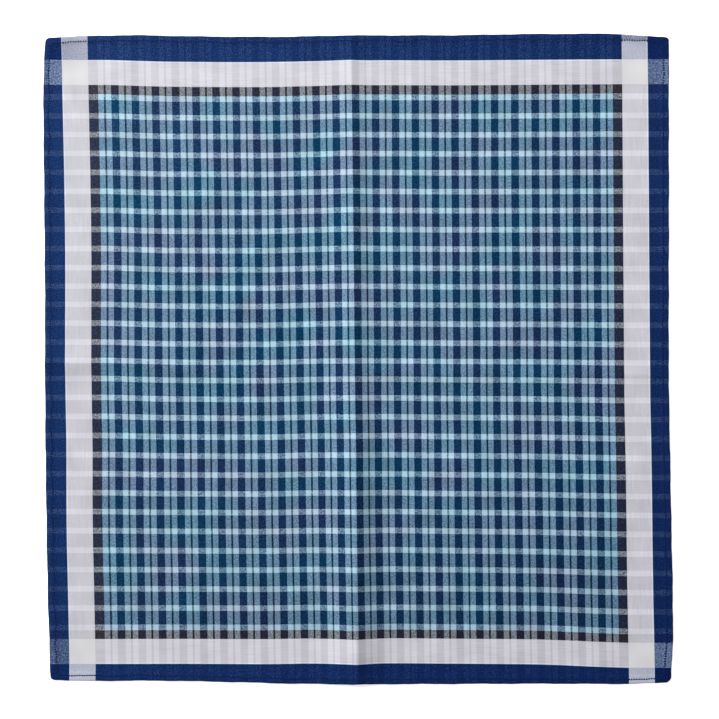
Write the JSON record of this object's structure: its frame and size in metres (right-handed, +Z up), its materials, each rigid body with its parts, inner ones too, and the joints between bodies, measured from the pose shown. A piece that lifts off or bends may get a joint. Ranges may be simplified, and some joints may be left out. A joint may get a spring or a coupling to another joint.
{
  "type": "cotton handkerchief, opened out flat",
  "caption": "Square hemmed cotton handkerchief lying opened out and face up, with the low cross of its old fold creases still standing; yarn-dyed check with plain border bands.",
  "frame": {"origin": "on the surface it lies on, under the middle of the cloth's bounding box", "axes": "+Z up out of the face of the cloth, +Y towards its top side along the warp, +X towards its right side along the weft"},
  "size_m": [0.4154, 0.4292, 0.007],
  "materials": {
    "cloth": "matt yarn-dyed cotton, plain weave with closer satin bands at the border",
    "thread": "matt navy cotton sewing thread"
  },
  "bodies": {
    "root": {"handkerchief": "cloth"}
  },
  "joints": []
}
